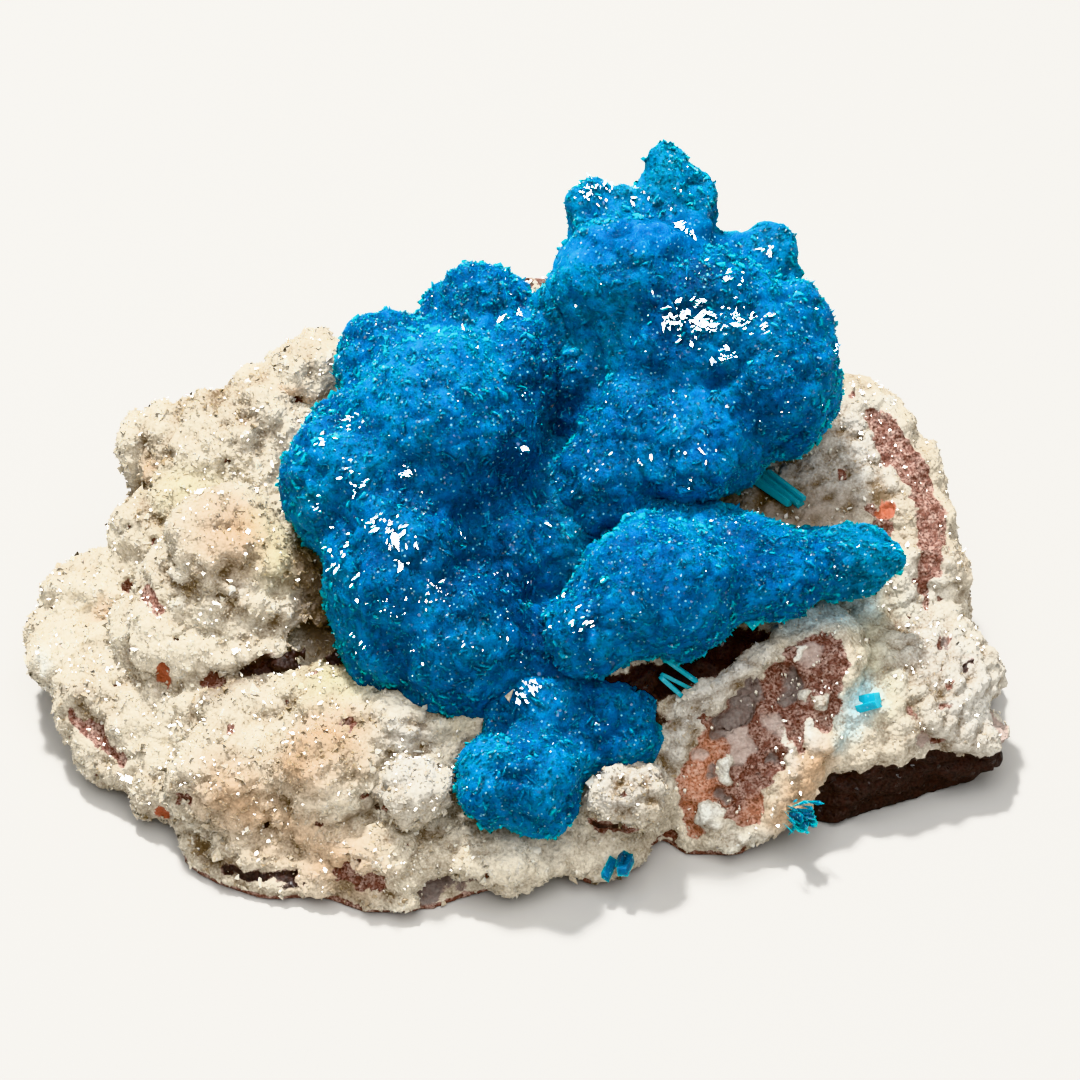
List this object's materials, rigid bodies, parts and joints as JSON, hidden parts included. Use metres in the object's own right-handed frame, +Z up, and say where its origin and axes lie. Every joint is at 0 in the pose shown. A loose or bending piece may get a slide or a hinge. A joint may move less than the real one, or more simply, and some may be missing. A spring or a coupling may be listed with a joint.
{
  "type": "cavansite mineral specimen",
  "caption": "Free-standing mineral specimen: blue cavansite sprays grown together on loose, zeolite-coated basalt with a flat broken underside.",
  "frame": {"origin": "middle of the specimen's bounding box, on the flat broken underside that it rests on", "axes": "+Z up from the underside; +X along the rock's length, from the crusted end to the slab with the bare basalt band; +Y from the front edge with the small rosette to the back"},
  "size_m": [0.0792, 0.0456, 0.0399],
  "materials": {
    "crusted_basalt": "sugary cream zeolite crust over matt reddish-brown vesicular basalt",
    "cavansite": "vitreous, slightly translucent deep blue crystal tips"
  },
  "bodies": {
    "root": {"matrix_rock": "crusted_basalt", "cavansite_cluster": "cavansite", "cavansite_lower_rosette": "cavansite", "cavansite_tuft_front_right": "cavansite", "cavansite_prism_upper_right": "cavansite", "cavansite_prism_right": "cavansite", "cavansite_blade_centre": "cavansite", "cavansite_crystal_front": "cavansite"}
  },
  "joints": []
}
